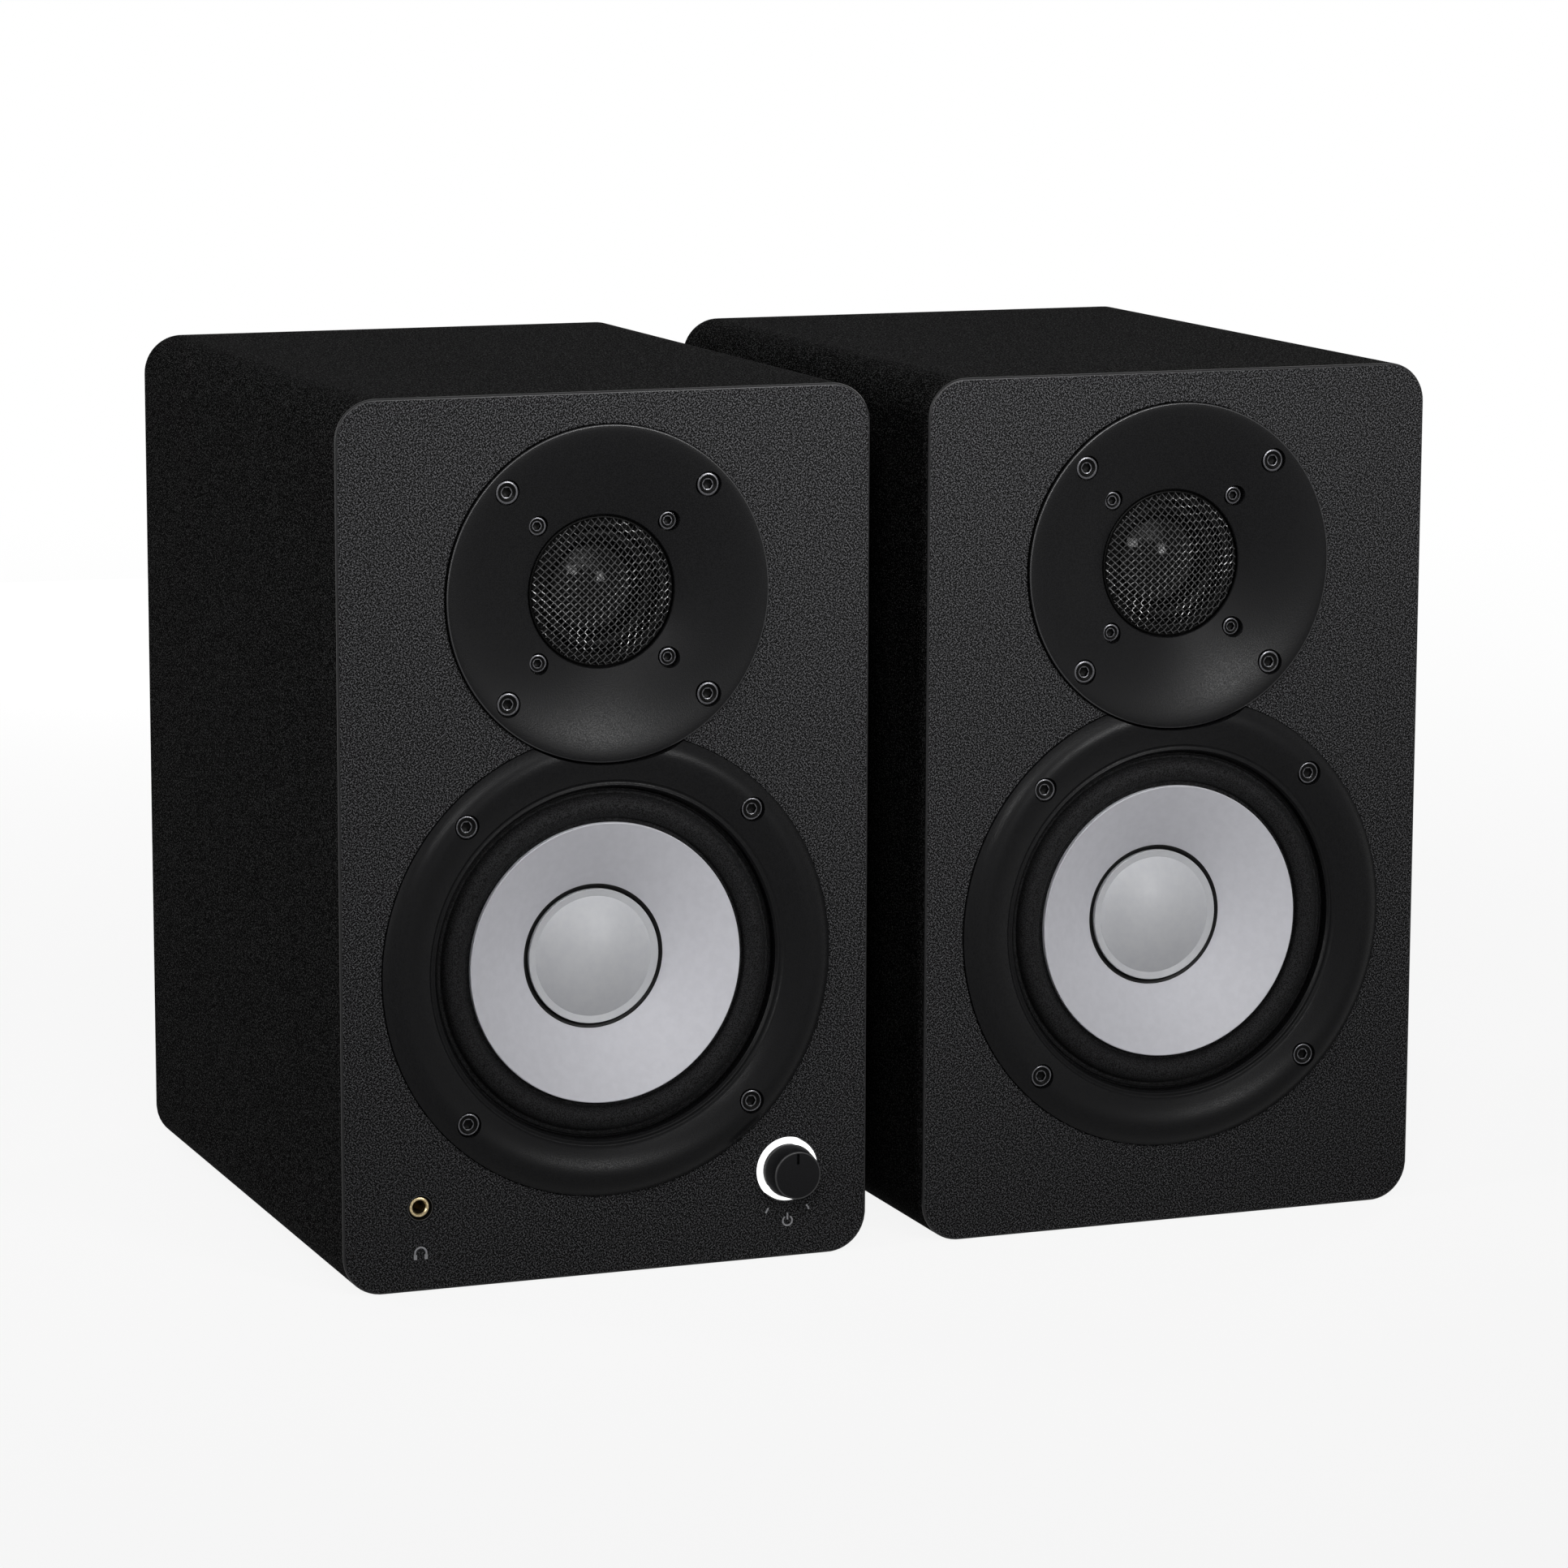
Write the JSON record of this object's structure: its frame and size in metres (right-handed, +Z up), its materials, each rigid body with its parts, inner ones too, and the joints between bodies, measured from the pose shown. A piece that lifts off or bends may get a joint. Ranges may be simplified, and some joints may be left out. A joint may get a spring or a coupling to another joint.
{
  "type": "desktop speakers",
  "caption": "Desktop monitor loudspeakers: black boxes with a dished tweeter plate over a pale-coned woofer, one with a lit volume knob, headphone socket and rear amplifier panel.",
  "frame": {"origin": "bottom centre of the pair's bounding box, on the surface they stand on", "axes": "+X towards the driven right cabinet, +Y towards the backs (fronts face -Y), +Z up"},
  "size_m": [0.317, 0.2128, 0.24],
  "materials": {
    "cabinet_board": "fibreboard under pebbled black paint",
    "rear_board": "fibreboard, plain black",
    "moulded_frame": "moulded, fine matt",
    "rubber": "grained",
    "cone": "smooth satin",
    "dust_cap": "smooth satin",
    "copper": "copper wire winding",
    "spider_cloth": "resin-stiffened cloth",
    "plated_steel": "zinc plated",
    "ferrite": "sintered",
    "wire_grille": "black woven wire",
    "tweeter_dome": "coated cloth",
    "panel_paint": "black powder coat",
    "black_plastic": "moulded",
    "red_plastic": "moulded",
    "circuit_board": "solder resist",
    "core_steel": "varnished laminations",
    "bare_aluminium": "extruded",
    "knob": "fine matt",
    "light_guide": "white diffuser, lit",
    "brass": "turned"
  },
  "bodies": {
    "cabinets": {"left_cabinet": "cabinet_board", "right_cabinet": "cabinet_board", "left_rear_board": "rear_board", "right_rear_board": "rear_board", "left_woofer_frame": "moulded_frame", "right_woofer_frame": "moulded_frame", "left_waveguide": "moulded_frame", "right_waveguide": "moulded_frame", "left_surround": "rubber", "right_surround": "rubber", "left_tweeter_roll": "rubber", "right_tweeter_roll": "rubber", "left_spider": "spider_cloth", "right_spider": "spider_cloth", "left_woofer_top_plate": "plated_steel", "right_woofer_top_plate": "plated_steel", "left_woofer_yoke": "plated_steel", "right_woofer_yoke": "plated_steel", "left_tweeter_motor": "plated_steel", "right_tweeter_motor": "plated_steel", "left_woofer_magnet": "ferrite", "right_woofer_magnet": "ferrite", "left_grille": "wire_grille", "right_grille": "wire_grille", "amplifier_panel": "panel_paint", "left_port_tube": "black_plastic", "right_port_tube": "black_plastic", "left_terminal_block": "black_plastic", "right_terminal_block": "black_plastic", "combo_jack_left": "black_plastic", "combo_jack_right": "black_plastic", "phono_sockets": "black_plastic", "mains_inlet": "black_plastic", "volume_control": "black_plastic", "amplifier_board": "circuit_board", "control_board": "circuit_board", "crossover_board": "circuit_board", "transformer": "core_steel", "heat_sink": "bare_aluminium", "light_ring": "light_guide", "headphone_jack": "brass"},
    "left_woofer": {"left_cone": "cone", "left_dust_cap": "dust_cap", "left_voice_coil": "copper"},
    "right_woofer": {"right_cone": "cone", "right_dust_cap": "dust_cap", "right_voice_coil": "copper"},
    "left_tweeter": {"left_tweeter_dome": "tweeter_dome"},
    "right_tweeter": {"right_tweeter_dome": "tweeter_dome"},
    "power_button": {"power_plunger": "black_plastic"},
    "volume": {"volume_knob": "knob", "knob_shaft": "plated_steel"},
    "room_slider": {"room_switch": "black_plastic"},
    "treble_slider": {"treble_switch": "black_plastic"},
    "left_red_clip": {"left_lever_red": "red_plastic"},
    "left_black_clip": {"left_lever_black": "black_plastic"},
    "right_red_clip": {"right_lever_red": "red_plastic"},
    "right_black_clip": {"right_lever_black": "black_plastic"}
  },
  "joints": [
    {"name": "power_press", "type": "slide", "parent": "cabinets", "child": "power_button", "axis": [0, 1, 0], "range_m": [0, 0.0015], "stiffness_N_per_m": 900, "springref_m": -0.001},
    {"name": "volume_turn", "type": "hinge", "parent": "power_button", "child": "volume", "pos_m": [-0.0317, -0.09845, 0.0246], "axis": [0, 1, 0], "range_deg": [-150, 150]},
    {"name": "left_woofer_travel", "type": "slide", "parent": "cabinets", "child": "left_woofer", "axis": [0, -1, 0], "range_m": [-0.003, 0.003], "stiffness_N_per_m": 1100, "deforming": ["left_surround", "left_spider"]},
    {"name": "left_tweeter_travel", "type": "slide", "parent": "cabinets", "child": "left_tweeter", "axis": [0, -1, 0], "range_m": [-0.0003, 0.0003], "stiffness_N_per_m": 400, "deforming": ["left_tweeter_roll"]},
    {"name": "right_woofer_travel", "type": "slide", "parent": "cabinets", "child": "right_woofer", "axis": [0, -1, 0], "range_m": [-0.003, 0.003], "stiffness_N_per_m": 1100, "deforming": ["right_surround", "right_spider"]},
    {"name": "right_tweeter_travel", "type": "slide", "parent": "cabinets", "child": "right_tweeter", "axis": [0, -1, 0], "range_m": [-0.0003, 0.0003], "stiffness_N_per_m": 400, "deforming": ["right_tweeter_roll"]},
    {"name": "room_switch_slide", "type": "slide", "parent": "cabinets", "child": "room_slider", "axis": [1, 0, 0], "range_m": [-0.0025, 0.0025]},
    {"name": "treble_switch_slide", "type": "slide", "parent": "cabinets", "child": "treble_slider", "axis": [1, 0, 0], "range_m": [-0.0025, 0.0025]},
    {"name": "left_red_clip_press", "type": "hinge", "parent": "cabinets", "child": "left_red_clip", "pos_m": [-0.071, 0.09745, 0.0475], "axis": [-1, 0, 0], "range_deg": [0, 25], "stiffness_Nm_per_rad": 0.15, "springref_deg": -8.59},
    {"name": "left_black_clip_press", "type": "hinge", "parent": "cabinets", "child": "left_black_clip", "pos_m": [-0.048, 0.09745, 0.0475], "axis": [-1, 0, 0], "range_deg": [0, 25], "stiffness_Nm_per_rad": 0.15, "springref_deg": -8.59},
    {"name": "right_red_clip_press", "type": "hinge", "parent": "cabinets", "child": "right_red_clip", "pos_m": [0.072, 0.09555, 0.0645], "axis": [-1, 0, 0], "range_deg": [0, 25], "stiffness_Nm_per_rad": 0.15, "springref_deg": -8.59},
    {"name": "right_black_clip_press", "type": "hinge", "parent": "cabinets", "child": "right_black_clip", "pos_m": [0.095, 0.09555, 0.0645], "axis": [-1, 0, 0], "range_deg": [0, 25], "stiffness_Nm_per_rad": 0.15, "springref_deg": -8.59}
  ]
}
